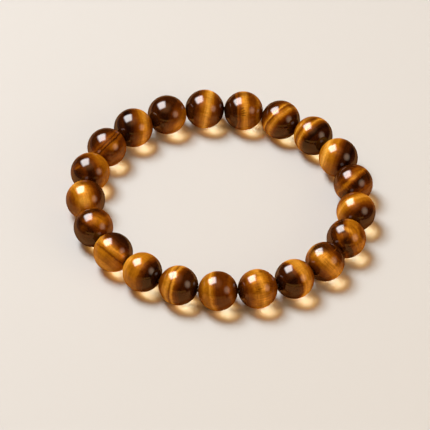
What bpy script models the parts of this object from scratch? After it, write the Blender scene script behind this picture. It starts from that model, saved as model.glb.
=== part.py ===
"""Stretch bracelet of round, polished tiger's eye beads, lying on a flat surface.

Blender 4.5. Metres, +Z up. The beads rest on z = 0 and their loop is centred on the origin.
"""

import math

import bpy
import numpy as np
from mathutils import Matrix, Vector
from mathutils.geometry import intersect_line_line

MM = 0.001

# Driving sizes
BEAD_COUNT = 21
BEAD_RADIUS = 4.0 * MM
BORE_RADIUS = 0.6 * MM
BEAD_GAP = 0.08 * MM  # keeps the solids apart where real beads touch
CORD_RADIUS = 0.35 * MM
CORD_BEND_REACH = 0.3 * MM  # how far into each bore the cord's bend between two beads begins
LOOP_OVAL = 0.026  # the loop's radius grows by this share along X and shrinks by it along Y
FIRST_BEAD_TURN = math.radians(117)  # the very dark bead at the back; the others follow it clockwise

# Facets. An odd number of strips and an even number of sides put a flat square under each bead.
BEAD_SIDES = 20
BEAD_STRIPS = 9
CORD_BEVEL_STEPS = 2
LOOP_SAMPLES = 3600

# Base colours of the stone, and the one that leads in each bead, from the first bead clockwise
TONES = {
    "dark": (0.045, 0.017, 0.007, 1.0),
    "brown": (0.17, 0.068, 0.016, 1.0),
    "gold": (0.44, 0.21, 0.05, 1.0),
}
BEAD_TONES = (
    "dark", "gold", "brown", "brown", "dark", "gold", "brown",
    "gold", "gold", "gold", "dark", "gold", "brown", "dark",
    "brown", "gold", "dark", "gold", "dark", "brown", "gold",
)
STONE_ROUGHNESS = 0.12
CORD_COLOUR = (0.03, 0.018, 0.012, 1.0)
CORD_ROUGHNESS = 0.45


def clear_scene():
    for obj in list(bpy.data.objects):
        bpy.data.objects.remove(obj, do_unlink=True)


def make_material(name, colour, roughness):
    material = bpy.data.materials.new(name)
    material.use_nodes = True
    shader = material.node_tree.nodes["Principled BSDF"]
    shader.inputs["Base Color"].default_value = colour
    shader.inputs["Roughness"].default_value = roughness
    shader.inputs["Metallic"].default_value = 0.0
    return material


def bead_centres():
    """The beads' places in plan: evenly spaced along the oval, with their box centred on the origin."""
    turns = FIRST_BEAD_TURN - np.linspace(0, 2 * math.pi, LOOP_SAMPLES + 1)
    radii = 1 + LOOP_OVAL * np.cos(2 * turns)
    oval = np.column_stack([radii * np.cos(turns), radii * np.sin(turns)])
    steps = np.linalg.norm(np.diff(oval, axis=0), axis=1)
    run = np.concatenate([[0], np.cumsum(steps)])
    stops = np.arange(BEAD_COUNT) / BEAD_COUNT * run[-1]
    centres = np.column_stack([np.interp(stops, run, oval[:, axis]) for axis in (0, 1)])
    spacing = np.linalg.norm(np.roll(centres, -1, axis=0) - centres, axis=1).min()
    centres *= (2 * BEAD_RADIUS + BEAD_GAP) / spacing
    centres -= (centres.min(axis=0) + centres.max(axis=0)) / 2
    return [Vector((x, y, BEAD_RADIUS)) for x, y in centres]


def bore_directions(centres):
    """Each bore runs level, along the line from the bead before to the bead after."""
    count = len(centres)
    return [(centres[(i + 1) % count] - centres[i - 1]).normalized() for i in range(count)]


def bead_profile():
    """Half section of a bead: round its outside from one mouth of the bore to the other, then along the bore."""
    mouth = math.asin(BORE_RADIUS / BEAD_RADIUS)
    strip = (math.pi - 2 * mouth) / BEAD_STRIPS
    # Widened so that the middle strip's flats, and not its corners, lie at the bead's radius.
    widen = 1 / (math.cos(strip / 2) * math.cos(math.pi / BEAD_SIDES))
    half_side = Matrix.Rotation(math.pi / BEAD_SIDES, 3, "Z")
    points = []
    for i in range(BEAD_STRIPS + 1):
        polar = mouth + i * strip
        points.append(half_side @ Vector((widen * math.sin(polar), 0, math.cos(polar))) * BEAD_RADIUS)
    profile = bpy.data.meshes.new("bead_profile")
    count = len(points)
    profile.from_pydata(points, [(i, (i + 1) % count) for i in range(count)], [])
    return profile


def make_bead(name, profile, centre, bore, material, collection):
    bead = bpy.data.objects.new(name, profile.copy())
    collection.objects.link(bead)
    turned = bead.modifiers.new("turned", "SCREW")
    turned.axis = "Z"
    turned.steps = BEAD_SIDES
    turned.render_steps = BEAD_SIDES
    turned.use_merge_vertices = True
    turned.merge_threshold = 0.000001
    bead.data.materials.append(material)
    bead.location = centre
    bead.rotation_euler = (0, math.pi / 2, math.atan2(bore.y, bore.x))
    return bead


def cord_route(centres, bores):
    """Straight through every bore, with a short round bend where two neighbouring bores' axes meet."""
    route = []
    for i, centre in enumerate(centres):
        following = (i + 1) % len(centres)
        corner = intersect_line_line(
            centre, centre + bores[i], centres[following], centres[following] + bores[following]
        )[0]
        before = corner - bores[i] * CORD_BEND_REACH
        after = corner + bores[following] * CORD_BEND_REACH
        route += [before, (before + after) / 4 + corner / 2, after]
    return route


def make_cord(name, route, material, collection):
    curve = bpy.data.curves.new(name, "CURVE")
    curve.dimensions = "3D"
    curve.bevel_depth = CORD_RADIUS
    curve.bevel_resolution = CORD_BEVEL_STEPS
    spline = curve.splines.new("POLY")
    spline.points.add(len(route) - 1)
    for point, place in zip(spline.points, route):
        point.co = (*place, 1)
    spline.use_cyclic_u = True
    curve.materials.append(material)
    cord = bpy.data.objects.new(name, curve)
    collection.objects.link(cord)
    return cord


def main():
    clear_scene()
    bracelet = bpy.data.collections.new("tigers_eye_bracelet")
    bpy.context.scene.collection.children.link(bracelet)
    stones = {
        tone: make_material(f"tigers_eye_{tone}", colour, STONE_ROUGHNESS)
        for tone, colour in TONES.items()
    }
    centres = bead_centres()
    bores = bore_directions(centres)
    profile = bead_profile()
    for i, (centre, bore) in enumerate(zip(centres, bores)):
        make_bead(f"bead_{i + 1:02d}", profile, centre, bore, stones[BEAD_TONES[i]], bracelet)
    bpy.data.meshes.remove(profile)
    elastic = make_material("elastic_cord", CORD_COLOUR, CORD_ROUGHNESS)
    make_cord("elastic_cord", cord_route(centres, bores), elastic, bracelet)


main()
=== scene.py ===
"""Dresses the tiger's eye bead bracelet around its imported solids.

Each bead is a drilled ball that one Geometry Nodes tree turns about its bore. Its stone is a solid
pattern of silky layers, so that every bead shows its own bands from all sides. One elastic cord runs
through the bores. Metres, +Z up.
"""

import logging
import math
from dataclasses import dataclass, field
from enum import Enum
from typing import Any, Optional, Sequence

import bpy
from bpy.types import AreaLight, ColorRamp, Material, Node, NodeSocket, NodeTree, Object
from mathutils import Matrix, Vector
from mathutils.geometry import intersect_line_line

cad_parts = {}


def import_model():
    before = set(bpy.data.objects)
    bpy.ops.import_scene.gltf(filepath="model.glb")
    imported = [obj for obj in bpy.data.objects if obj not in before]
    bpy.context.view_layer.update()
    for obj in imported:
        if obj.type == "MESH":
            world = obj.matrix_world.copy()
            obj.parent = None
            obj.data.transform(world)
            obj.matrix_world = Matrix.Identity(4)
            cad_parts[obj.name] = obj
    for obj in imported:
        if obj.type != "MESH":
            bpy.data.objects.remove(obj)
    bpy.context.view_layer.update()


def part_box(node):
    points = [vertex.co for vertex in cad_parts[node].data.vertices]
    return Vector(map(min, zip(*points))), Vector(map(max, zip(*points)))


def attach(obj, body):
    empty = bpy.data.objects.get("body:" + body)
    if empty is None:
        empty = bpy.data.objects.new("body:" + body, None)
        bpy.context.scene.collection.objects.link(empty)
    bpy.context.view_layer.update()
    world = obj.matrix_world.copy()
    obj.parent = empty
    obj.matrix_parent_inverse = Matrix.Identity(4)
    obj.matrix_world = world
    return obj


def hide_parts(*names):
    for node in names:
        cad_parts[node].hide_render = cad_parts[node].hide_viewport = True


MM = 0.001
BODY = "root"
FLOAT = "NodeSocketFloat"
VECTOR = "NodeSocketVector"
COLOUR = "NodeSocketColor"

Triple = tuple[float, float, float]
Linear = tuple[float, float, float, float]

log = logging.getLogger("bracelet")


class Tone(Enum):
    """The stone's colours, from its darkest layers to its brightest silk, as sRGB shares."""

    NIGHT = (0.11, 0.035, 0.01)
    UMBER = (0.225, 0.095, 0.01)
    RUSSET = (0.355, 0.16, 0.01)
    BROWN = (0.495, 0.26, 0.02)
    AMBER = (0.67, 0.415, 0.06)
    HONEY = (0.82, 0.56, 0.17)
    GOLD = (0.93, 0.69, 0.27)

    def linear(self) -> Linear:
        """Returns the tone as linear colour with full alpha."""
        return linear_colour(self.value)


NIGHT, UMBER, RUSSET, BROWN, AMBER, HONEY, GOLD = Tone


def linear_colour(shares: Sequence[float]) -> Linear:
    """Turns the red, green and blue of an sRGB colour into a linear colour with full alpha."""
    # The curve and its numbers are those of the sRGB standard.
    red, green, blue = (
        share / 12.92 if share <= 0.04045 else ((share + 0.055) / 1.055) ** 2.4 for share in shares
    )
    return (red, green, blue, 1.0)


class NodeSheet:
    """Adds nodes to one tree and joins them, from left to right."""

    spacing = 180

    def __init__(self, tree: NodeTree) -> None:
        """Starts on a tree, which keeps the nodes that it has."""
        self.tree = tree

    def add(self, kind: str, inputs: Optional[dict[Any, Any]] = None, **settings: Any) -> Node:
        """Adds one node.

        Args:
            kind: the node's type, such as ShaderNodeMath.
            inputs: what goes into its sockets, by name or number: a value or another node's output.
            settings: the node's own properties.

        Returns:
            The new node.
        """
        node = self.tree.nodes.new(kind)
        node.location.x = self.spacing * len(self.tree.nodes)
        for name, value in settings.items():
            setattr(node, name, value)
        self.feed_all(node, inputs or {})
        return node

    def feed(self, socket: NodeSocket, value: Any) -> None:
        """Joins an output to a socket, or sets the socket's own value."""
        if isinstance(value, NodeSocket):
            self.tree.links.new(value, socket)
        else:
            socket.default_value = value

    def feed_all(self, node: Node, inputs: dict[Any, Any]) -> None:
        """Feeds several of a node's inputs, by name or number."""
        for name, value in inputs.items():
            self.feed(node.inputs[name], value)

    def calc(self, operation: str, *values: Any, clamp: bool = False) -> NodeSocket:
        """Adds a Math node and returns its output."""
        inputs = dict(enumerate(values))
        return self.add("ShaderNodeMath", inputs, operation=operation, use_clamp=clamp).outputs[0]

    def vector(self, operation: str, *values: Any) -> NodeSocket:
        """Adds a Vector Math node for an operation with a vector result and returns its output."""
        return self.add("ShaderNodeVectorMath", dict(enumerate(values)), operation=operation).outputs[0]

    def point(self, x: Any, y: Any = 0.0, z: Any = 0.0) -> NodeSocket:
        """Adds a vector made of three coordinates and returns its output."""
        return self.add("ShaderNodeCombineXYZ", {"X": x, "Y": y, "Z": z}).outputs[0]

    def ease(
        self, value: NodeSocket, start: float, end: float, low: float = 0.0, high: Any = 1.0
    ) -> NodeSocket:
        """Adds a smooth step, low where the value is at start and high at end, and returns its output."""
        step = self.add(
            "ShaderNodeMapRange",
            {"Value": value, "From Min": start, "From Max": end, "To Min": low, "To Max": high},
            interpolation_type="SMOOTHSTEP",
        )
        return step.outputs[0]

    def blend(self, factor: Any, first: Any, second: Any, how: str = "MIX") -> NodeSocket:
        """Adds a mix of two colours, which is all the first at a factor of 0, and returns its output."""
        inputs = {"Factor": factor, 6: first, 7: second}
        return self.add("ShaderNodeMix", inputs, data_type="RGBA", blend_type=how).outputs[2]

    def place_in(self, centre: Vector, turn: Matrix, sizes: Vector) -> NodeSocket:
        """Adds object coordinates, told from a centre along turned axes and in units of sizes."""
        mapping = self.add(
            "ShaderNodeMapping",
            {
                "Vector": self.add("ShaderNodeTexCoord").outputs["Object"],
                "Location": centre,
                "Rotation": turn.to_euler("XYZ"),
                "Scale": sizes,
            },
            vector_type="TEXTURE",
        )
        return mapping.outputs[0]


def new_group(
    name: str, kind: str, inputs: dict[str, tuple[str, Any]], outputs: dict[str, str]
) -> tuple[NodeTree, NodeSheet, Node, Node]:
    """Makes an empty node group with named sockets.

    Args:
        name: the group's name.
        kind: ShaderNodeTree or GeometryNodeTree.
        inputs: each input's socket type and default, or None where it has none.
        outputs: each output's socket type.

    Returns:
        The tree, a sheet to add to it, and its input and output nodes.
    """
    tree = bpy.data.node_groups.new(name, kind)
    for label, (socket_type, default) in inputs.items():
        socket = tree.interface.new_socket(label, in_out="INPUT", socket_type=socket_type)
        if default is not None:
            socket.default_value = default
    for label, socket_type in outputs.items():
        tree.interface.new_socket(label, in_out="OUTPUT", socket_type=socket_type)
    sheet = NodeSheet(tree)
    return tree, sheet, sheet.add("NodeGroupInput"), sheet.add("NodeGroupOutput")


def lay_ramp(ramp: ColorRamp, stops: Sequence[tuple[float, Sequence[float]]]) -> None:
    """Lays colours along a colour ramp with eased steps, from stops of a position and a linear colour."""
    ramp.interpolation = "EASE"
    for spare in list(ramp.elements)[1:]:
        ramp.elements.remove(spare)
    for i, (position, colour) in enumerate(stops):
        stop = ramp.elements[0] if i == 0 else ramp.elements.new(1.0)
        stop.position = position
        stop.color = colour


def new_material(name: str) -> tuple[Material, NodeSheet, Node]:
    """Makes a material and returns it with a sheet for its nodes and its Principled shader."""
    material = bpy.data.materials.new(name)
    material.use_nodes = True
    tree = material.node_tree
    return material, NodeSheet(tree), tree.nodes["Principled BSDF"]


def add_object(name: str, data: Any) -> Object:
    """Adds an object with this data to the scene and returns it."""
    thing = bpy.data.objects.new(name, data)
    bpy.context.scene.collection.objects.link(thing)
    return thing


def keep_mesh(maker: Object, name: str) -> Object:
    """Keeps a maker's finished shape as a plain mesh, removes the maker and returns the new piece."""
    graph = bpy.context.evaluated_depsgraph_get()
    mesh = bpy.data.meshes.new_from_object(maker.evaluated_get(graph), depsgraph=graph)
    bpy.data.objects.remove(maker)
    mesh.name = name
    return add_object(name, mesh)


@dataclass
class Picture:
    """The camera of the photograph: a long lens, looking down at the loop's middle from the front."""

    height_angle: float = math.radians(45.2)
    roll: float = math.radians(3.0)
    lens_mm: float = 500.0
    sensor_mm: float = 36.0
    distance: float = 1.221
    nearest: float = 0.01
    farthest: float = 50.0
    aim: Vector = Vector((-1.09 * MM, -4.78 * MM, 4.12 * MM))

    def axes(self) -> tuple[Vector, Vector, Vector]:
        """Returns the picture's right, its up, and the way towards the viewer, in the row frame."""
        towards = Vector((0, -math.cos(self.height_angle), math.sin(self.height_angle)))
        right = Vector((1, 0, 0))
        up = towards.cross(right)
        turn = Matrix.Rotation(self.roll, 3, towards)
        return turn @ right, turn @ up, towards

    def turned(self, lean: float, tip: float) -> Matrix:
        """Turns a set of axes against the picture's own.

        Args:
            lean: the first axis's angle in the picture, in degrees anticlockwise from its right.
            tip: how far the first axis turns towards the viewer, in degrees.

        Returns:
            The axes in the row frame as columns: across at this lean and tip, along, and out.
        """
        right, up, towards = self.axes()
        lean, tip = math.radians(lean), math.radians(tip)
        flat = right * math.cos(lean) + up * math.sin(lean)
        across = flat * math.cos(tip) + towards * math.sin(tip)
        along = up * math.cos(lean) - right * math.sin(lean)
        return Matrix((across, along, across.cross(along))).transposed()

    def build(self) -> Object:
        """Makes the camera, gives it to the scene and returns it."""
        data = bpy.data.cameras.new("picture")
        data.lens = self.lens_mm
        data.sensor_width = self.sensor_mm
        data.clip_start = self.nearest
        data.clip_end = self.farthest
        camera = add_object("picture", data)
        right, up, towards = self.axes()
        turn = Matrix((right, up, towards)).transposed().to_4x4()
        camera.matrix_world = Matrix.Translation(self.aim + towards * self.distance) @ turn
        bpy.context.scene.camera = camera
        return camera


@dataclass(frozen=True)
class Grain:
    """One of the stone's noises.

    stretch is the number of patches along each axis of a bead's radius and detail that of finer
    layers. salt sets the noise apart from the others.
    """

    stretch: Triple
    salt: float
    detail: float


@dataclass(frozen=True)
class SilkyStone:
    """The finish that all the beads share: silky stone under a clear polish.

    The polish is whole where the surface faces the viewer, up to full_polish, and falls to
    least_polish where it turns away, at rim. The lens values say what a bead does to light that
    crosses its surface, from straight on at 0 to grazing at 1. Light crosses two surfaces, so the
    gain counts twice.
    """

    wave: Grain = Grain((1.0, 0.9, 0.9), 1.0, 3.0)
    fray: Grain = Grain((1.2, 11.0, 11.0), 4.0, 2.0)
    threads: Grain = Grain((11.0, 1.0, 1.0), 7.0, 2.0)
    fibres: Grain = Grain((1.6, 12.0, 12.0), 11.0, 2.0)
    clouds: Grain = Grain((2.6, 2.0, 2.0), 15.0, 4.0)
    noise_roughness: float = 0.62
    noise_gain: float = 3.4
    spot_core: float = 0.25
    spot_unevenness: float = 0.25
    least_shade: float = 0.05
    green_power: float = 1.2
    blue_power: float = 1.6
    fibre_height: float = 0.6
    roughness: float = 0.36
    roughness_spread: float = 0.03
    bump: float = 0.2
    bump_depth: float = 0.02 * MM
    sheen: float = 0.1
    sheen_edge: Linear = (0.25, 0.2, 0.15, 1.0)
    refraction: float = 1.54
    polish_roughness: float = 0.03
    full_polish: float = 0.40
    rim: float = 0.85
    least_polish: float = 0.15
    lens_gain: float = 2.16
    lens_tints: tuple[tuple[float, Linear], ...] = (
        (0.0, (1.0, 1.0, 0.93, 1.0)),
        (0.025, (0.95, 0.91, 0.78, 1.0)),
        (0.065, (0.66, 0.52, 0.30, 1.0)),
        (0.13, (0.38, 0.23, 0.07, 1.0)),
        (0.30, (0.15, 0.08, 0.02, 1.0)),
        (0.80, (0.09, 0.04, 0.01, 1.0)),
    )


class StoneNodes:
    """The three shader groups that all the beads share: the stone's layers, a clouded spot and the silk."""

    def __init__(self, look: SilkyStone) -> None:
        """Builds the groups once, for one look of the stone."""
        self.look = look
        self.layers = self.build_layers()
        self.spot = self.build_spot()
        self.silk = self.build_silk()

    def build_layers(self) -> NodeTree:
        """Makes the group that says how far across the layers a point lies.

        Returns:
            A group with a place of 0 to 1 across the layers, and three masks from about -1 to 1:
            threads that follow the layers, fibres that cross them, and clouds.
        """
        tree, sheet, given, result = new_group(
            "tigers_eye_layers",
            "ShaderNodeTree",
            {"Place": (VECTOR, None), "Seed": (FLOAT, 0.0), "Wave": (FLOAT, 0.1), "Fray": (FLOAT, 0.03)},
            {"Across": FLOAT, "Threads": FLOAT, "Fibres": FLOAT, "Clouds": FLOAT},
        )
        place, seed = given.outputs["Place"], given.outputs["Seed"]
        across = sheet.add("ShaderNodeSeparateXYZ", {0: place}).outputs["X"]
        wave = self.add_noise(sheet, place, seed, self.look.wave)
        fray = self.add_noise(sheet, place, seed, self.look.fray)
        waved = sheet.calc("MULTIPLY_ADD", wave, given.outputs["Wave"], across)
        frayed = sheet.calc("MULTIPLY_ADD", fray, given.outputs["Fray"], waved)
        along = sheet.vector("MULTIPLY", place, (0.0, 1.0, 1.0))
        bent = sheet.vector("ADD", along, sheet.point(waved))
        sheet.feed_all(
            result,
            {
                "Across": sheet.calc("MULTIPLY_ADD", frayed, 0.5, 0.5, clamp=True),
                "Threads": self.add_noise(sheet, bent, seed, self.look.threads),
                "Fibres": self.add_noise(sheet, place, seed, self.look.fibres),
                "Clouds": self.add_noise(sheet, place, seed, self.look.clouds),
            },
        )
        return tree

    def add_noise(
        self, sheet: NodeSheet, place: NodeSocket, seed: NodeSocket, grain: Grain
    ) -> NodeSocket:
        """Adds noise from about -1 to 1, read at a place with a bead's own seed, and returns its output."""
        noise = sheet.add(
            "ShaderNodeTexNoise",
            {
                "Vector": sheet.vector("MULTIPLY", place, grain.stretch),
                "W": sheet.calc("ADD", seed, grain.salt),
                "Scale": 1.0,
                "Detail": grain.detail,
                "Roughness": self.look.noise_roughness,
            },
            noise_dimensions="4D",
        )
        gain = self.look.noise_gain
        return sheet.calc("MULTIPLY_ADD", noise.outputs[0], gain, -gain / 2)

    def build_spot(self) -> NodeTree:
        """Makes the group that clouds one part of the bead with a tone, fading towards its edges.

        Returns:
            A group that takes the colour so far and gives the clouded one.
        """
        tree, sheet, given, result = new_group(
            "tigers_eye_spot",
            "ShaderNodeTree",
            {
                "Colour": (COLOUR, None),
                "Tone": (COLOUR, None),
                "Place": (VECTOR, None),
                "Clouds": (FLOAT, 0.0),
                "Strength": (FLOAT, 1.0),
            },
            {"Colour": COLOUR},
        )
        reach = sheet.add("ShaderNodeVectorMath", {0: given.outputs["Place"]}, operation="LENGTH")
        uneven = sheet.calc(
            "MULTIPLY_ADD", given.outputs["Clouds"], self.look.spot_unevenness, reach.outputs["Value"]
        )
        mask = sheet.ease(uneven, 1.0, self.look.spot_core, 0.0, given.outputs["Strength"])
        mixed = sheet.blend(mask, given.outputs["Colour"], given.outputs["Tone"])
        sheet.feed(result.inputs["Colour"], mixed)
        return tree

    def build_silk(self) -> NodeTree:
        """Makes the group that turns a layer's colour into silky stone.

        Returns:
            A group with the finished colour, the roughness under the polish, and a height.
        """
        depths = {"Threads": "Thread Depth", "Fibres": "Fibre Depth", "Clouds": "Cloud Depth"}
        tree, sheet, given, result = new_group(
            "tigers_eye_silk",
            "ShaderNodeTree",
            {"Layer Colour": (COLOUR, None)}
            | {mask: (FLOAT, 0.0) for mask in depths}
            | {depth: (FLOAT, 0.1) for depth in depths.values()},
            {"Colour": COLOUR, "Roughness": FLOAT, "Height": FLOAT},
        )
        look = self.look
        shade: Any = 1.0
        for mask, depth in depths.items():
            shade = sheet.calc("MULTIPLY_ADD", given.outputs[mask], given.outputs[depth], shade)
        shade = sheet.calc("MAXIMUM", shade, look.least_shade)
        green = sheet.calc("POWER", shade, look.green_power)
        blue = sheet.calc("POWER", shade, look.blue_power)
        tint = sheet.add("ShaderNodeCombineColor", {0: shade, 1: green, 2: blue}).outputs[0]
        threads = given.outputs["Threads"]
        height = sheet.calc("MULTIPLY_ADD", given.outputs["Fibres"], look.fibre_height, threads)
        sheet.feed_all(
            result,
            {
                "Colour": sheet.blend(1.0, given.outputs["Layer Colour"], tint, "MULTIPLY"),
                "Roughness": sheet.calc("MULTIPLY_ADD", height, look.roughness_spread, look.roughness),
                "Height": height,
            },
        )
        return tree


@dataclass(frozen=True)
class Spot:
    """A cloud of one tone in a bead.

    x and y say where it lies, in radii to the picture's right and up. long and wide are its half
    sizes, and turn is the angle of its long side, in degrees anticlockwise from the picture's right.
    """

    tone: Tone
    x: float
    y: float
    long: float
    wide: float
    turn: float = 0.0
    strength: float = 0.8


@dataclass(frozen=True)
class BandedStone:
    """The finish of one bead: which layers of the stone it was cut from, as the photograph shows it.

    lean is the way across the bands, in degrees anticlockwise from the picture's right, and tip how
    far that way turns towards the viewer, which bows the bands. bands names tones, each with its
    places across the ball, from -1 to 1; the dark tones that many beads take near -1 and 1 are partly
    the stone's dark layers and partly painted shade for the bead's darker edges beside its neighbours.
    wave bends the layers and fray roughens their edges.
    thread, fibre and cloud are the depths of the fine lines along the layers, of those across them
    and of mottling.
    """

    lean: float
    tip: float
    bands: str
    spots: tuple[Spot, ...] = ()
    wave: float = 0.08
    fray: float = 0.04
    thread: float = 0.22
    fibre: float = 0.16
    cloud: float = 0.30

    def stops(self) -> list[tuple[float, Linear]]:
        """Reads the bands as a ramp's positions, from 0 to 1, and linear colours."""
        stops = []
        for band in self.bands.split(","):
            tone, *places = band.split()
            stops += [((float(place) + 1) / 2, Tone[tone.upper()].linear()) for place in places]
        return stops


@dataclass
class StoneMaterial:
    """One bead's material, with its pattern centred on the ball and scaled by its radius.

    seed is the bead's own number, so that no two beads share their fine lines.
    """

    name: str
    finish: BandedStone
    centre: Vector
    radius: float
    seed: float
    picture: Picture
    nodes: StoneNodes
    sheet: NodeSheet = field(init=False)

    def build(self) -> Material:
        """Makes the material, with every constant on the shader's own sockets, and returns it."""
        material, self.sheet, polish = new_material(self.name)
        sheet, look = self.sheet, self.nodes.look
        silk = self.add_silk()
        bump = sheet.add(
            "ShaderNodeBump",
            {"Height": silk.outputs["Height"], "Strength": look.bump, "Distance": look.bump_depth},
        )
        # At a blend of a half, Facing is one less the cosine of the angle that the surface turns away.
        facing = sheet.add("ShaderNodeLayerWeight", {"Blend": 0.5}).outputs["Facing"]
        sheet.feed_all(
            polish,
            {
                "Base Color": silk.outputs["Colour"],
                "Roughness": silk.outputs["Roughness"],
                "Normal": bump.outputs["Normal"],
                "IOR": look.refraction,
                "Metallic": look.sheen,
                "Specular IOR Level": 0.0,
                "Specular Tint": look.sheen_edge,
                "Coat Weight": sheet.ease(facing, look.full_polish, look.rim, 1.0, look.least_polish),
                "Coat Roughness": look.polish_roughness,
                "Coat IOR": look.refraction,
            },
        )
        whole = self.add_glow(facing, polish)
        sheet.feed(material.node_tree.nodes["Material Output"].inputs["Surface"], whole)
        return material

    def add_silk(self) -> Node:
        """Adds the bands, the spots and the silk.

        Returns:
            The silk group's node, which gives the finished colour, roughness and height.
        """
        sheet, finish = self.sheet, self.finish
        turn = self.picture.turned(finish.lean, finish.tip)
        place = sheet.place_in(self.centre, turn, Vector((self.radius,) * 3))
        layers = sheet.add(
            "ShaderNodeGroup",
            {"Place": place, "Seed": self.seed, "Wave": finish.wave, "Fray": finish.fray},
            node_tree=self.nodes.layers,
        )
        ramp = sheet.add("ShaderNodeValToRGB", {"Fac": layers.outputs["Across"]})
        lay_ramp(ramp.color_ramp, finish.stops())
        colour = ramp.outputs["Color"]
        for spot in finish.spots:
            colour = self.add_spot(spot, colour, layers.outputs["Clouds"])
        masks = {mask: layers.outputs[mask] for mask in ("Threads", "Fibres", "Clouds")}
        depths = {"Thread Depth": finish.thread, "Fibre Depth": finish.fibre, "Cloud Depth": finish.cloud}
        inputs = {"Layer Colour": colour} | masks | depths
        return sheet.add("ShaderNodeGroup", inputs, node_tree=self.nodes.silk)

    def add_spot(self, spot: Spot, colour: NodeSocket, clouds: NodeSocket) -> NodeSocket:
        """Adds one spot.

        Args:
            spot: where the spot lies on the bead's front, and its tone.
            colour: the colour so far.
            clouds: the mask that makes the spot's edge uneven.

        Returns:
            The clouded colour.
        """
        right, up, towards = self.picture.axes()
        out = towards * math.sqrt(max(0.0, 1 - spot.x**2 - spot.y**2))
        middle = self.centre + (right * spot.x + up * spot.y + out) * self.radius
        sizes = Vector((spot.long, spot.wide, max(spot.long, spot.wide))) * self.radius
        clouded = self.sheet.add(
            "ShaderNodeGroup",
            {
                "Colour": colour,
                "Tone": spot.tone.linear(),
                "Place": self.sheet.place_in(middle, self.picture.turned(spot.turn, 0.0), sizes),
                "Clouds": clouds,
                "Strength": spot.strength,
            },
            node_tree=self.nodes.spot,
        )
        return clouded.outputs["Colour"]

    def add_glow(self, facing: NodeSocket, polish: Node) -> NodeSocket:
        """Lets light shine through the bead on to what lies behind it, gathered as by an amber lens.

        Args:
            facing: how far the surface turns away, from 0 to 1.
            polish: the shader that is seen directly.

        Returns:
            The whole surface's output.
        """
        sheet, look = self.sheet, self.nodes.look
        ramp = sheet.add("ShaderNodeValToRGB", {"Fac": facing})
        lay_ramp(ramp.color_ramp, look.lens_tints)
        gathered = sheet.add(
            "ShaderNodeVectorMath", {0: ramp.outputs["Color"], "Scale": look.lens_gain}, operation="SCALE"
        )
        amber = sheet.add("ShaderNodeBsdfTransparent", {"Color": gathered.outputs[0]})
        in_shadow = sheet.add("ShaderNodeLightPath").outputs["Is Shadow Ray"]
        mix = sheet.add("ShaderNodeMixShader", {0: in_shadow, 1: polish.outputs[0], 2: amber.outputs[0]})
        return mix.outputs[0]


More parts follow.
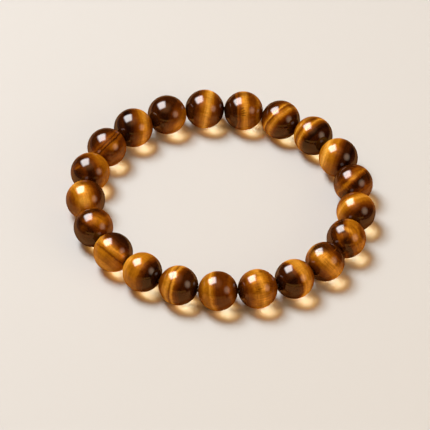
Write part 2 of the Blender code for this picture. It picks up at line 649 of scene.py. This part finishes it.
# The beads in their order round the loop, from the very dark one at the back and clockwise from above.
STONES: tuple[BandedStone, ...] = (
    BandedStone(
        -28, 0, "umber -1 0.05, russet 0.28, brown 0.52, amber 0.78 1",
        (Spot(NIGHT, -0.05, -0.15, 0.5, 0.3, -28, 0.6), Spot(BROWN, 0.6, 0.15, 0.35, 0.3, 0, 0.6)),
        cloud=0.7,
    ),
    BandedStone(
        -11, -3,
        "night -1, umber -0.75 -0.55, russet -0.4, brown -0.25, amber -0.1, honey 0.0, "
        "gold 0.1 0.16, honey 0.22, amber 0.28, brown 0.39, russet 0.6, umber 0.85, night 1",
        fibre=0.2,
    ),
    BandedStone(
        2, -5,
        "night -1, umber -0.7 -0.45, brown -0.37 -0.33, russet -0.29, brown -0.25, amber -0.16, "
        "honey -0.04 0.08, amber 0.18, brown 0.28 0.5, amber 0.7, brown 0.86, russet 1",
        (
            Spot(RUSSET, 0.5, 0.5, 0.4, 0.3, 0, 0.7),
            Spot(RUSSET, 0.0, 0.85, 0.6, 0.25, 0, 0.6),
            Spot(UMBER, -0.06, 0.1, 0.14, 0.04, 35, 0.7),
            Spot(UMBER, -0.02, -0.03, 0.17, 0.04, 20, 0.8),
            Spot(UMBER, 0.0, -0.14, 0.17, 0.04, 5, 0.8),
            Spot(UMBER, 0.0, -0.26, 0.17, 0.04, 0, 0.7),
        ),
        thread=0.25, fibre=0.3,
    ),
    BandedStone(
        -46, 20,
        "night -1, umber -0.6, russet -0.4, brown -0.3, amber -0.22, honey -0.15, brown -0.08 -0.04, "
        "amber 0.06, honey 0.18, amber 0.28, brown 0.34, russet 0.42, umber 0.6 0.8, night 1",
        (Spot(UMBER, -0.28, 0.56, 0.36, 0.25, 30, 0.75), Spot(RUSSET, 0.52, 0.72, 0.5, 0.26, -38, 0.7)),
    ),
    BandedStone(
        -42, 30,
        "russet -1, brown -0.75, amber -0.58, honey -0.48, amber -0.36, brown -0.26 -0.2, "
        "amber -0.11, honey -0.02, amber 0.06, brown 0.15, umber 0.3, night 0.42, umber 0.6, night 1",
        (Spot(RUSSET, -0.12, 0.88, 0.5, 0.25, 15, 0.75),),
        thread=0.16, cloud=0.45,
    ),
    BandedStone(
        -18, 5,
        "amber -1 -0.88, honey -0.76, gold -0.65, honey -0.56, amber -0.38 -0.2, brown 0, "
        "russet 0.13, umber 0.25 0.45, night 0.62, umber 0.8 1",
        fibre=0.15,
    ),
    BandedStone(
        -48, 5,
        "umber -1 -0.65, russet -0.52, brown -0.38 -0.26, amber -0.13, brown -0.01, russet 0.07, "
        "umber 0.16 0.24, russet 0.42, brown 0.6 0.8, russet 1",
        (
            Spot(HONEY, 0.0, 0.32, 0.3, 0.18, 40, 0.6),
            Spot(AMBER, -0.3, 0.0, 0.25, 0.14, 40, 0.7),
            Spot(RUSSET, -0.5, 0.1, 0.3, 0.12, 30, 0.7),
        ),
        wave=0.14, fray=0.09, thread=0.4, cloud=0.7,
    ),
    BandedStone(
        -55, 35,
        "russet -1, brown -0.45, amber -0.3, honey -0.16 -0.08, amber 0.03 0.12, brown 0.3, "
        "russet 0.48, umber 0.65 1",
    ),
    BandedStone(
        20, 10,
        "umber -1 -0.5, russet -0.32, brown -0.2, russet -0.1, umber 0.02 0.12, brown 0.32, "
        "amber 0.5 0.78, brown 0.95 1",
        (
            Spot(HONEY, 0.1, 0.42, 0.4, 0.16, -30, 0.8),
            Spot(BROWN, -0.22, 0.12, 0.3, 0.25, 30, 0.9),
            Spot(UMBER, 0.15, -0.12, 0.28, 0.18, 40, 0.6),
            Spot(UMBER, -0.6, 0.4, 0.35, 0.35, 0, 0.7),
            Spot(NIGHT, -0.1, -0.55, 0.4, 0.25, 0, 0.7),
            Spot(RUSSET, 0.4, 0.5, 0.4, 0.06, -50, 0.45),
        ),
        wave=0.16, thread=0.35, cloud=0.6,
    ),
    BandedStone(
        45, 0,
        "umber -1 -0.75, russet -0.58, brown -0.44, amber -0.27, honey -0.06 0.18, amber 0.34, "
        "brown 0.5, russet 0.67, umber 0.85 1",
        (
            Spot(RUSSET, -0.75, 0.45, 0.45, 0.3, 60, 0.8),
            Spot(UMBER, -0.2, 0.75, 0.9, 0.5, 10, 0.95),
            Spot(BROWN, 0.48, 0.58, 0.3, 0.035, 47, 0.9),
        ),
        thread=0.45, fibre=0.24, cloud=0.4,
    ),
    BandedStone(
        25, -30,
        "night -1, umber -0.8 -0.45, russet -0.32 -0.27, brown -0.24, amber -0.18, honey -0.05 0.18, "
        "amber 0.38, brown 0.55, russet 1",
        (Spot(NIGHT, -0.05, -0.12, 0.4, 0.25, 25, 0.8),), cloud=0.45,
    ),
    BandedStone(
        15, -10,
        "night -1, umber -0.85, russet -0.7, brown -0.5, amber -0.28 -0.14, honey 0.03 0.12, "
        "amber 0.34, brown 0.6 0.78, russet 1",
        (
            Spot(AMBER, 0.1, 0.7, 0.4, 0.35, 0, 0.6),
            Spot(HONEY, 0.15, -0.4, 0.35, 0.35, 0, 0.5),
            Spot(UMBER, -0.05, 0.1, 0.2, 0.04, 15, 0.4),
            Spot(UMBER, 0.1, 0.0, 0.22, 0.04, 20, 0.4),
            Spot(UMBER, 0.0, -0.12, 0.25, 0.04, 15, 0.4),
        ),
        thread=0.25, fibre=0.35, cloud=0.45,
    ),
    BandedStone(
        5, 12,
        "russet -1, brown -0.75, amber -0.6 -0.3, honey -0.18, amber -0.08, brown 0.02, "
        "russet 0.13 0.3 0.6, brown 0.75, umber 1",
        wave=0.04, thread=0.16, cloud=0.4,
    ),
    BandedStone(
        -15, 20,
        "russet -1, brown -0.6, amber -0.44, honey -0.28 -0.22, amber -0.13, brown -0.07, "
        "honey 0.02 0.09, amber 0.13, brown 0.19, russet 0.3, umber 0.5 0.8, night 1",
    ),
    BandedStone(
        -27, 25,
        "amber -1, honey -0.7, amber -0.35 -0.2 0.08 0.22, brown 0.35, russet 0.47, umber 0.62, "
        "night 0.82 1",
        cloud=0.5,
    ),
    BandedStone(
        52, 0,
        "amber -1, honey -0.85, amber -0.6 -0.24, brown -0.15, amber -0.06, honey 0.08 0.2, "
        "amber 0.28, brown 0.36, russet 0.46, umber 0.65, night 1",
        (
            Spot(UMBER, -0.17, -0.02, 0.4, 0.04, -40, 0.35),
            Spot(UMBER, 0.75, -0.35, 0.4, 0.5, 0, 0.9),
            # This thin honey spot along the upper-left edge is a painted reflection: an arc of light on the
            # rim, not the stone's tone.
            Spot(HONEY, -0.70, 0.62, 0.55, 0.07, 45, 0.9),
        ),
        wave=0.05, thread=0.25, cloud=0.45,
    ),
    BandedStone(
        60, 15,
        "umber -1 0.05, russet 0.2, brown 0.35 0.85, russet 1",
        (
            Spot(AMBER, 0.28, 0.34, 0.55, 0.34, -10, 0.95),
            Spot(UMBER, -0.45, 0.62, 0.8, 0.35, 40, 0.95),
            Spot(UMBER, 0.05, 0.88, 0.55, 0.22, 0, 0.8),
            Spot(BROWN, -0.5, -0.05, 0.3, 0.25, 0, 0.35),
            Spot(RUSSET, 0.88, 0.0, 0.45, 0.25, 90, 0.6),
        ),
        wave=0.16, thread=0.4, cloud=0.7,
    ),
    BandedStone(
        15, -20,
        "russet -1, brown -0.8, amber -0.62, honey -0.4 -0.25, amber -0.02, brown 0.14, russet 0.32, "
        "umber 0.65 1",
        (
            Spot(RUSSET, 0.0, 0.88, 0.7, 0.22, 0, 0.7),
            Spot(GOLD, 0.0, -0.1, 0.45, 0.35, -30, 0.7),
            Spot(AMBER, 0.35, 0.1, 0.25, 0.3, 0, 0.6),
        ),
        cloud=0.4,
    ),
    BandedStone(
        18, -45,
        "umber -1, russet -0.85, umber -0.75 -0.55, russet -0.4, brown -0.2, amber 0.04 0.25 0.5, "
        "brown 1",
        (Spot(BROWN, -0.64, 0.22, 0.3, 0.1, 30, 0.8),), cloud=0.5,
    ),
    BandedStone(
        -45, 0,
        "umber -1 -0.6, russet -0.42, brown -0.28, russet -0.19, brown -0.13 -0.09, umber -0.03, "
        "brown 0.04 0.1, russet 0.25 0.4, brown 0.7 1",
        (Spot(AMBER, 0.38, 0.08, 0.42, 0.28, 45, 0.9), Spot(UMBER, -0.4, -0.6, 0.5, 0.3, 0, 0.6)),
        wave=0.06, fray=0.06, thread=0.35, cloud=0.55,
    ),
    BandedStone(
        2, -15,
        "night -1, umber -0.7, night -0.55 -0.42, umber -0.3, russet -0.12, brown 0.04, amber 0.22, "
        "honey 0.34 0.48, amber 0.62, brown 0.82, russet 1",
        cloud=0.45,
    ),
)


@dataclass
class BeadTurner:
    """The Geometry Nodes tree that turns a drilled ball about its bore, with rounded mouths."""

    bore_radius: float = 0.6 * MM
    mouth_rounding: float = 0.14 * MM
    turn_steps: int = 84
    outside_steps: int = 56
    mouth_steps: int = 7
    bore_steps: int = 3
    merge_distance: float = 0.001 * MM

    def build_tree(self) -> NodeTree:
        """Makes the tree, with the bead's sizes and place as named inputs."""
        tree, sheet, given, result = new_group(
            "turned_bead",
            "GeometryNodeTree",
            {
                "Bead Radius": (FLOAT, 4.0 * MM),
                "Bore Radius": (FLOAT, self.bore_radius),
                "Mouth Rounding": (FLOAT, self.mouth_rounding),
                "Centre": (VECTOR, None),
                "Heading": (FLOAT, 0.0),
                "Stone": ("NodeSocketMaterial", None),
            },
            {"Geometry": "NodeSocketGeometry"},
        )
        radius = given.outputs["Bead Radius"]
        bore = given.outputs["Bore Radius"]
        rounding = given.outputs["Mouth Rounding"]
        # The rounding's own centre lies inside the stone, one rounding in from the ball and the bore.
        reach = sheet.calc("SUBTRACT", radius, rounding)
        off_axis = sheet.calc("ADD", bore, rounding)
        mouth_angle = sheet.calc("ARCSINE", sheet.calc("DIVIDE", off_axis, reach))
        height = sheet.calc("MULTIPLY", reach, sheet.calc("COSINE", mouth_angle))
        outside_start = sheet.calc("SUBTRACT", mouth_angle, math.pi / 2)
        outside = self.add_arc(
            sheet, self.outside_steps, radius, outside_start, sheet.calc("MULTIPLY", outside_start, -2.0)
        )
        sweep = sheet.calc("ADD", mouth_angle, math.pi / 2)
        far_start = sheet.calc("MULTIPLY", outside_start, -1.0)
        mouths = []
        for start, side in ((far_start, height), (math.pi, sheet.calc("MULTIPLY", height, -1.0))):
            arc = self.add_arc(sheet, self.mouth_steps, rounding, start, sweep)
            place = sheet.point(off_axis, side)
            moved = sheet.add("GeometryNodeTransform", {"Geometry": arc, "Translation": place})
            mouths.append(moved.outputs[0])
        wall = self.add_wall(sheet, bore, height)
        joined = sheet.add("GeometryNodeJoinGeometry")
        for part in (outside, *mouths, wall):
            tree.links.new(part, joined.inputs[0])
        edges = sheet.add("GeometryNodeCurveToMesh", {"Curve": joined.outputs[0]})
        merged = sheet.add(
            "GeometryNodeMergeByDistance", {"Geometry": edges.outputs[0], "Distance": self.merge_distance}
        )
        profile = sheet.add("GeometryNodeMeshToCurve", {"Mesh": merged.outputs[0]})
        sheet.feed(result.inputs["Geometry"], self.add_turning(sheet, given, profile.outputs[0]))
        return tree

    def add_arc(self, sheet: NodeSheet, steps: int, radius: Any, start: Any, sweep: Any) -> NodeSocket:
        """Adds an arc about the origin and returns its curve."""
        arc = sheet.add(
            "GeometryNodeCurveArc",
            {"Resolution": steps + 1, "Radius": radius, "Start Angle": start, "Sweep Angle": sweep},
            mode="RADIUS",
        )
        return arc.outputs["Curve"]

    def add_wall(self, sheet: NodeSheet, bore: Any, height: Any) -> NodeSocket:
        """Adds the bore's straight wall between its two mouths and returns its curve."""
        foot = sheet.point(bore, sheet.calc("MULTIPLY", height, -1.0))
        ends = {"Start": sheet.point(bore, height), "End": foot}
        line = sheet.add("GeometryNodeCurvePrimitiveLine", ends, mode="POINTS").outputs[0]
        steps = {"Curve": line, "Count": self.bore_steps + 1}
        return sheet.add("GeometryNodeResampleCurve", steps).outputs[0]

    def add_turning(self, sheet: NodeSheet, given: Node, profile: Any) -> NodeSocket:
        """Turns the profile about the bore, lays the bead in its place and gives it its stone.

        Args:
            sheet: the tree's sheet.
            given: its input node.
            profile: the closed half section, with X away from the bore and Y along it.

        Returns:
            The finished geometry.
        """
        radius = given.outputs["Bead Radius"]
        path = sheet.add(
            "GeometryNodeCurvePrimitiveCircle", {"Resolution": self.turn_steps, "Radius": radius}
        )
        inward = sheet.point(sheet.calc("MULTIPLY", radius, -1.0))
        offset = sheet.add("GeometryNodeTransform", {"Geometry": profile, "Translation": inward})
        ball = sheet.add(
            "GeometryNodeCurveToMesh", {"Curve": path.outputs[0], "Profile Curve": offset.outputs[0]}
        )
        smooth = sheet.add("GeometryNodeSetShadeSmooth", {"Geometry": ball.outputs[0]})
        # The quarter turn lays the bore level, and the heading then points it along the loop.
        heading = sheet.point(0.0, math.pi / 2, given.outputs["Heading"])
        placed = sheet.add(
            "GeometryNodeTransform",
            {
                "Geometry": smooth.outputs[0],
                "Translation": given.outputs["Centre"],
                "Rotation": heading,
            },
        )
        whole = sheet.add("GeometryNodeRealizeInstances", {"Geometry": placed.outputs[0]})
        stone = sheet.add(
            "GeometryNodeSetMaterial", {"Geometry": whole.outputs[0], "Material": given.outputs["Stone"]}
        )
        return stone.outputs[0]

    def make(self, name: str, tree: NodeTree, sizes: dict[str, Any]) -> Object:
        """Runs the tree once and keeps its result as a plain mesh.

        Args:
            name: the piece's name.
            tree: the tree that build_tree made.
            sizes: the values of the tree's named inputs.

        Returns:
            The piece, with no modifier left on it.
        """
        maker = add_object(f"{name}_maker", bpy.data.meshes.new("blank"))
        modifier = maker.modifiers.new("turned", "NODES")
        modifier.node_group = tree
        for item in tree.interface.items_tree:
            if item.in_out == "INPUT" and item.name in sizes:
                modifier[item.identifier] = sizes[item.name]
        return keep_mesh(maker, name)


@dataclass
class BeadString:
    """The beads, in their order round the loop, each in the place of its CAD solid."""

    picture: Picture
    turner: BeadTurner
    look: SilkyStone
    seed_step: float = 3.7

    def node_name(self, number: int) -> str:
        """Returns the CAD node's name of a bead, counted from 1."""
        return f"bead_{number:02d}"

    def centres(self) -> list[Vector]:
        """Returns the beads' centres, read from the CAD boxes."""
        boxes = [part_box(self.node_name(i + 1)) for i in range(len(STONES))]
        return [(low + high) / 2 for low, high in boxes]

    def pitch(self) -> float:
        """Returns the shortest way between two neighbours' centres, which touching beads are as wide as."""
        centres = self.centres()
        return min((centres[i] - centres[i - 1]).length for i in range(len(centres)))

    def bores(self) -> list[Vector]:
        """Returns the bores' directions: each runs from the bead before to the bead after."""
        centres = self.centres()
        count = len(centres)
        return [(centres[(i + 1) % count] - centres[i - 1]).normalized() for i in range(count)]

    def build(self) -> list[Object]:
        """Makes every bead, dresses it and rides it on the frame.

        Returns:
            The finished pieces.
        """
        tree = self.turner.build_tree()
        nodes = StoneNodes(self.look)
        radius = self.pitch() / 2
        pieces = []
        for i, (centre, bore, stone) in enumerate(zip(self.centres(), self.bores(), STONES)):
            node = self.node_name(i + 1)
            centre.z = radius
            material = StoneMaterial(
                f"tigers_eye_{i + 1:02d}", stone, centre, radius, self.seed_step * i, self.picture, nodes
            ).build()
            piece = self.turner.make(
                f"polished_{node}",
                tree,
                {
                    "Bead Radius": radius,
                    "Centre": centre,
                    "Heading": math.atan2(bore.y, bore.x),
                    "Stone": material,
                },
            )
            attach(piece, BODY)
            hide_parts(node)
            pieces.append(piece)
            log.info("bead %s: %d faces", piece.name, len(piece.data.polygons))
        return pieces


@dataclass
class ElasticCord:
    """The closed loop of round elastic that runs through the bores and bends between the beads."""

    radius: float = 0.35 * MM
    bend_reach: float = 0.3 * MM
    bend_steps: int = 4
    bevel_steps: int = 6
    colour: Triple = (0.13, 0.085, 0.06)
    roughness: float = 0.45
    mottle_scale: float = 6000.0
    mottle_detail: float = 2.0
    mottle_shade: float = 0.8

    def route(self, centres: list[Vector], bores: list[Vector]) -> list[Vector]:
        """Returns the cord's middle line: straight in each bore, rounded where two bores' axes meet."""
        line = []
        for i, centre in enumerate(centres):
            following = (i + 1) % len(centres)
            corner = intersect_line_line(
                centre, centre + bores[i], centres[following], centres[following] + bores[following]
            )[0]
            before = corner - bores[i] * self.bend_reach
            after = corner + bores[following] * self.bend_reach
            for step in range(self.bend_steps + 1):
                share = step / self.bend_steps
                line.append(before.lerp(corner, share).lerp(corner.lerp(after, share), share))
        return line

    def build(self, centres: list[Vector], bores: list[Vector]) -> Object:
        """Makes the cord as a mesh tube, dresses it and rides it on the frame.

        Args:
            centres: the beads' centres.
            bores: the bores' directions.

        Returns:
            The finished piece.
        """
        curve = bpy.data.curves.new("cord_line", "CURVE")
        curve.dimensions = "3D"
        curve.bevel_depth = self.radius
        curve.bevel_resolution = self.bevel_steps
        spline = curve.splines.new("POLY")
        line = self.route(centres, bores)
        spline.points.add(len(line) - 1)
        for point, place in zip(spline.points, line):
            point.co = (*place, 1)
        spline.use_cyclic_u = True
        spline.use_smooth = True
        piece = keep_mesh(add_object("cord_maker", curve), "stretch_cord")
        piece.data.materials.append(self.material())
        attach(piece, BODY)
        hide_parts("elastic_cord")
        log.info("cord: %d faces", len(piece.data.polygons))
        return piece

    def material(self) -> Material:
        """Makes the cord's satin, finely mottled finish."""
        material, sheet, shader = new_material("elastic_cord")
        noise = sheet.add(
            "ShaderNodeTexNoise",
            {
                "Vector": sheet.add("ShaderNodeTexCoord").outputs["Object"],
                "Scale": self.mottle_scale,
                "Detail": self.mottle_detail,
            },
        )
        ramp = sheet.add("ShaderNodeValToRGB", {"Fac": noise.outputs[0]})
        dark = linear_colour([self.mottle_shade * share for share in self.colour])
        for stop, colour in zip(ramp.color_ramp.elements, (dark, linear_colour(self.colour))):
            stop.color = colour
        sheet.feed_all(shader, {"Base Color": ramp.outputs["Color"], "Roughness": self.roughness})
        return material


@dataclass
class SoftLamp:
    """A softbox that shines at the bracelet from one side, and fades towards its edges.

    corner is 2 for a round front and more for a squarer one, and fade the share of the half width
    over which its edge fades. A mirrored lamp shows only as an image in polished stone, and the
    others only light what they shine on.
    """

    name: str
    direction: Triple
    size: tuple[float, float]
    radiance: float
    colour: Triple = (1.0, 1.0, 1.0)
    distance: float = 0.5
    roll: float = 0.0
    corner: float = 6.0
    fade: float = 0.3
    mirrored: bool = False

    def build(self) -> Object:
        """Makes the lamp and returns it."""
        data = bpy.data.lights.new(self.name, "AREA")
        data.shape = "RECTANGLE"
        data.size, data.size_y = self.size
        data.energy = self.radiance * math.pi * data.size * data.size_y
        data.color = self.colour
        self.fade_edges(data)
        lamp = add_object(self.name, data)
        direction = Vector(self.direction).normalized()
        turn = direction.to_track_quat("Z", "Y").to_matrix() @ Matrix.Rotation(self.roll, 3, "Z")
        lamp.matrix_world = Matrix.Translation(direction * self.distance) @ turn.to_4x4()
        lamp.visible_camera = False
        lamp.visible_diffuse = not self.mirrored
        lamp.visible_glossy = self.mirrored
        return lamp

    def fade_edges(self, data: AreaLight) -> None:
        """Dims the lamp's front towards its edges and rounds its corners."""
        data.use_nodes = True
        sheet = NodeSheet(data.node_tree)
        place = sheet.add("ShaderNodeNewGeometry").outputs["Parametric"]
        centred = sheet.vector("SUBTRACT", place, (0.5, 0.5, 0.0))
        sides = sheet.add("ShaderNodeSeparateXYZ", {0: centred})
        halves = [sheet.calc("ABSOLUTE", sides.outputs[axis]) for axis in ("X", "Y")]
        powers = [sheet.calc("POWER", half, self.corner) for half in halves]
        reach = sheet.calc("POWER", sheet.calc("ADD", *powers), 1 / self.corner)
        mask = sheet.ease(reach, 0.5, 0.5 * (1 - self.fade))
        sheet.feed(data.node_tree.nodes["Emission"].inputs["Strength"], mask)


# The window and the fill light the scene. The others are what the polish mirrors: the window, a dimmer
# one across from it, the golden sheen above and a pale strip low in front.
LAMPS: tuple[SoftLamp, ...] = (
    SoftLamp("window", direction=(-0.40, 0.272, 0.865), size=(0.43, 0.43), radiance=22.2, distance=0.9),
    SoftLamp(
        "far_fill", direction=(0.80, -0.42, 0.42), size=(0.5, 0.5), radiance=3.1, colour=(1.0, 0.77, 0.50),
        corner=2.0, fade=0.8,
    ),
    SoftLamp(
        "window_image", direction=(-0.47, 0.305, 0.745), size=(0.48, 0.38), radiance=13.5,
        colour=(1.02, 1.0, 1.0), distance=0.45, roll=math.radians(42), fade=0.5, mirrored=True,
    ),
    SoftLamp(
        "far_image", direction=(0.78, -0.34, 0.50), size=(0.42, 0.42), radiance=2.8,
        colour=(1.0, 0.72, 0.50), distance=0.45, corner=2.0, fade=0.8, mirrored=True,
    ),
    SoftLamp(
        "silk_image", direction=(-0.22, -0.02, 0.97), size=(0.85, 0.85), radiance=1.5,
        colour=(1.0, 0.46, 0.18), distance=0.47, corner=2.0, fade=1.0, mirrored=True,
    ),
    SoftLamp(
        "front_image", direction=(0.0, -1.0, 0.10), size=(3.0, 0.39), radiance=1.0,
        colour=(1.0, 0.45, 0.09), distance=1.5, fade=0.06, mirrored=True,
    ),
)


@dataclass
class Studio:
    """The plain pale floor, its lamps and the room's dim glow.

    The polish mirrors a browner floor than the one that is seen: a painted reflection of the shaded,
    amber-lit floor beside the warm stone. The end widths say how far to either side that floor begins
    and ends turning into a darker one, a painted reflection of darker surroundings.
    """

    floor_colour: Triple = (0.803, 0.812, 0.812)
    floor_roughness: float = 0.7
    floor_gloss: float = 0.2
    floor_radius: float = 3.0
    floor_sides: int = 96
    painted_floor_reflection: Triple = (0.89, 0.64, 0.38)
    painted_far_reflection: Triple = (0.30, 0.17, 0.09)
    painted_reflection_end: tuple[float, float] = (44 * MM, 50 * MM)
    room_colour: Linear = (1.10, 0.63, 0.26, 1.0)
    room_strength: float = 0.26
    mirrored_room: Triple = (1.0, 0.93, 0.90)
    mirrored_room_strength: float = 0.012

    def build(self) -> None:
        """Makes the floor, the room and the lamps, and sets how the picture is exposed."""
        self.build_floor()
        self.build_room()
        for lamp in LAMPS:
            lamp.build()
            log.info("lamp: %s", lamp.name)
        view = bpy.context.scene.view_settings
        view.view_transform = "Standard"
        view.look = "None"

    def build_floor(self) -> Object:
        """Makes the floor and returns it."""
        bpy.ops.mesh.primitive_circle_add(
            vertices=self.floor_sides, radius=self.floor_radius, fill_type="NGON"
        )
        floor = bpy.context.object
        floor.name = "floor"
        material, sheet, shader = new_material("floor")
        place = sheet.add("ShaderNodeSeparateXYZ", {0: sheet.add("ShaderNodeTexCoord").outputs["Object"]})
        # What glossy rays see is a painted reflection: a browner floor that turns darker to either side.
        beyond = sheet.ease(sheet.calc("ABSOLUTE", place.outputs["X"]), *self.painted_reflection_end)
        mirrored = sheet.blend(
            beyond, linear_colour(self.painted_floor_reflection), linear_colour(self.painted_far_reflection)
        )
        in_polish = sheet.add("ShaderNodeLightPath").outputs["Is Glossy Ray"]
        seen = sheet.blend(in_polish, linear_colour(self.floor_colour), mirrored)
        sheet.feed_all(
            shader,
            {"Base Color": seen, "Roughness": self.floor_roughness, "Specular IOR Level": self.floor_gloss},
        )
        floor.data.materials.append(material)
        return floor

    def build_room(self) -> None:
        """Lights the scene evenly from all round, but lets polished stone mirror the room only dimly."""
        world = bpy.data.worlds.new("room")
        bpy.context.scene.world = world
        world.use_nodes = True
        world.cycles.sampling_method = "NONE"
        sheet = NodeSheet(world.node_tree)
        room = world.node_tree.nodes["Background"]
        sheet.feed_all(room, {"Color": self.room_colour, "Strength": self.room_strength})
        mirrored = sheet.add(
            "ShaderNodeBackground",
            {"Color": linear_colour(self.mirrored_room), "Strength": self.mirrored_room_strength},
        )
        in_polish = sheet.add("ShaderNodeLightPath").outputs["Is Glossy Ray"]
        mix = sheet.add("ShaderNodeMixShader", {0: in_polish, 1: room.outputs[0], 2: mirrored.outputs[0]})
        sheet.feed(world.node_tree.nodes["World Output"].inputs["Surface"], mix.outputs[0])


def main() -> None:
    """Loads the frame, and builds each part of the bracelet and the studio."""
    logging.basicConfig(level=logging.INFO, format="%(message)s")
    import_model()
    picture = Picture()
    picture.build()
    beads = BeadString(picture, BeadTurner(), SilkyStone())
    beads.build()
    ElasticCord().build(beads.centres(), beads.bores())
    Studio().build()


if __name__ == "__main__":
    main()
